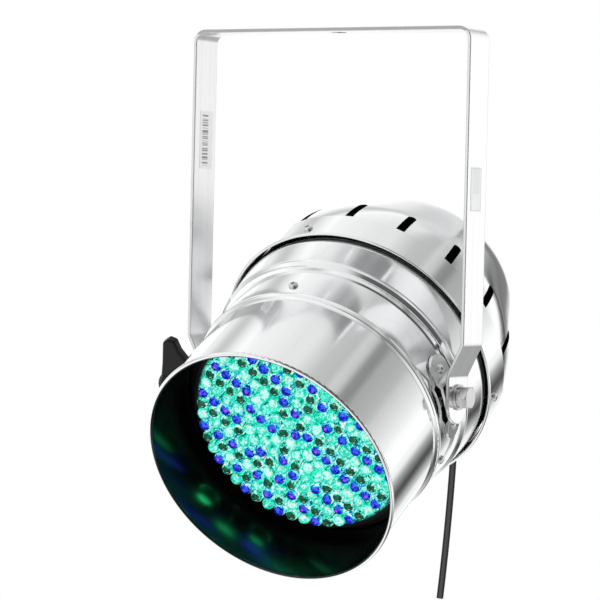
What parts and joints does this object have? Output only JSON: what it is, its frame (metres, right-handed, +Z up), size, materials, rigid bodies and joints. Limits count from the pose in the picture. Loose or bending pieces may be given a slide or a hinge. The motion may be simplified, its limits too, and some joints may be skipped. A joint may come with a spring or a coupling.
{
  "type": "par can light",
  "caption": "Short polished aluminium LED par can with a domed slotted rear cap, hung in a bent strap yoke with a hexagon pivot bolt and a black wing clamp knob.",
  "frame": {"origin": "centre of the hanging hole, on the top face of the yoke's bridge", "axes": "+Z up out of the hanging hole, -Y the side the can points to, +X from the clamp knob side towards the bolt side, parallel to the tilt axis"},
  "size_m": [0.2972, 0.4028, 0.4969],
  "materials": {
    "strap_aluminium": "polished",
    "label_silver": "matte",
    "label_white": "matte",
    "spun_aluminium": "polished",
    "bracket_steel": "satin",
    "rivet_aluminium": "satin",
    "zinc_steel": "polished",
    "nylon_black": "matte",
    "black_paint": "satin",
    "board_black": "matte",
    "lens_green": "gloss",
    "lens_blue": "gloss",
    "lens_red": "gloss",
    "knob_black": "satin",
    "brass": "satin",
    "panel_black": "satin",
    "cable_black": "satin",
    "gland_black": "satin",
    "socket_nickel": "satin",
    "button_black": "satin",
    "window_smoke": "gloss",
    "display_black": "matte",
    "pcb_green": "satin",
    "component_black": "matte",
    "transformer_yellow": "matte",
    "capacitor_sleeve": "gloss",
    "chassis_steel": "satin"
  },
  "bodies": {
    "yoke": {"yoke": "strap_aluminium", "arm_label": "label_silver", "bar_label": "label_white"},
    "clamp_knob": {"tilt_knob": "knob_black", "knob_insert": "brass"},
    "menu_button": {"menu_button": "button_black"},
    "down_button": {"down_button": "button_black"},
    "up_button": {"up_button": "button_black"},
    "enter_button": {"enter_button": "button_black"},
    "can": {"front_barrel": "spun_aluminium", "body_ring": "spun_aluminium", "rear_neck": "spun_aluminium", "cap_collar": "spun_aluminium", "rear_cap": "spun_aluminium", "ring_screws": "zinc_steel", "ring_nuts": "zinc_steel", "collar_screws": "zinc_steel", "collar_nuts": "zinc_steel", "collar_spacers": "zinc_steel", "led_carrier": "black_paint", "led_board": "board_black", "led_standoffs": "zinc_steel", "led_board_screws": "zinc_steel", "leds_blue": "lens_blue", "leds_red": "lens_red", "leds_green": "lens_green", "side_bracket_right": "bracket_steel", "side_bracket_left": "bracket_steel", "bracket_rivets": "rivet_aluminium", "friction_washers": "nylon_black", "pivot_bolt": "zinc_steel", "pivot_nut": "zinc_steel", "pivot_flat_washer": "zinc_steel", "pivot_spring_washer": "zinc_steel", "clamp_stud": "zinc_steel", "clamp_washer": "zinc_steel", "rear_panel": "panel_black", "panel_screws": "zinc_steel", "control_screws": "zinc_steel", "control_board": "pcb_green", "control_standoffs": "zinc_steel", "display_module": "display_black", "display_window": "window_smoke", "button_switches": "component_black", "dmx_in_pins": "brass", "dmx_in_socket": "socket_nickel", "dmx_out_socket": "socket_nickel", "socket_screws": "zinc_steel", "cable_gland": "gland_black", "gland_locknut": "gland_black", "mains_cable": "cable_black", "chassis_plate": "chassis_steel", "driver_board": "pcb_green", "driver_standoffs": "zinc_steel", "supply_standoffs": "zinc_steel", "supply_board": "pcb_green", "supply_transformer": "transformer_yellow", "supply_capacitors": "capacitor_sleeve"}
  },
  "joints": [
    {"name": "tilt", "type": "hinge", "parent": "yoke", "child": "can", "pos_m": [0, 0, -0.301], "axis": [1, 0, 0], "range_deg": [-121, 59]},
    {"name": "knob_turn", "type": "hinge", "parent": "can", "child": "clamp_knob", "pos_m": [-0.142, 0, -0.301], "axis": [-1, 0, 0], "range_deg": [-45, 360]},
    {"name": "menu_button_press", "type": "slide", "parent": "can", "child": "menu_button", "axis": [0, -0.8572, -0.515], "range_m": [0, 0.0012], "stiffness_N_per_m": 1500},
    {"name": "down_button_press", "type": "slide", "parent": "can", "child": "down_button", "axis": [0, -0.8572, -0.515], "range_m": [0, 0.0012], "stiffness_N_per_m": 1500},
    {"name": "up_button_press", "type": "slide", "parent": "can", "child": "up_button", "axis": [0, -0.8572, -0.515], "range_m": [0, 0.0012], "stiffness_N_per_m": 1500},
    {"name": "enter_button_press", "type": "slide", "parent": "can", "child": "enter_button", "axis": [0, -0.8572, -0.515], "range_m": [0, 0.0012], "stiffness_N_per_m": 1500}
  ]
}
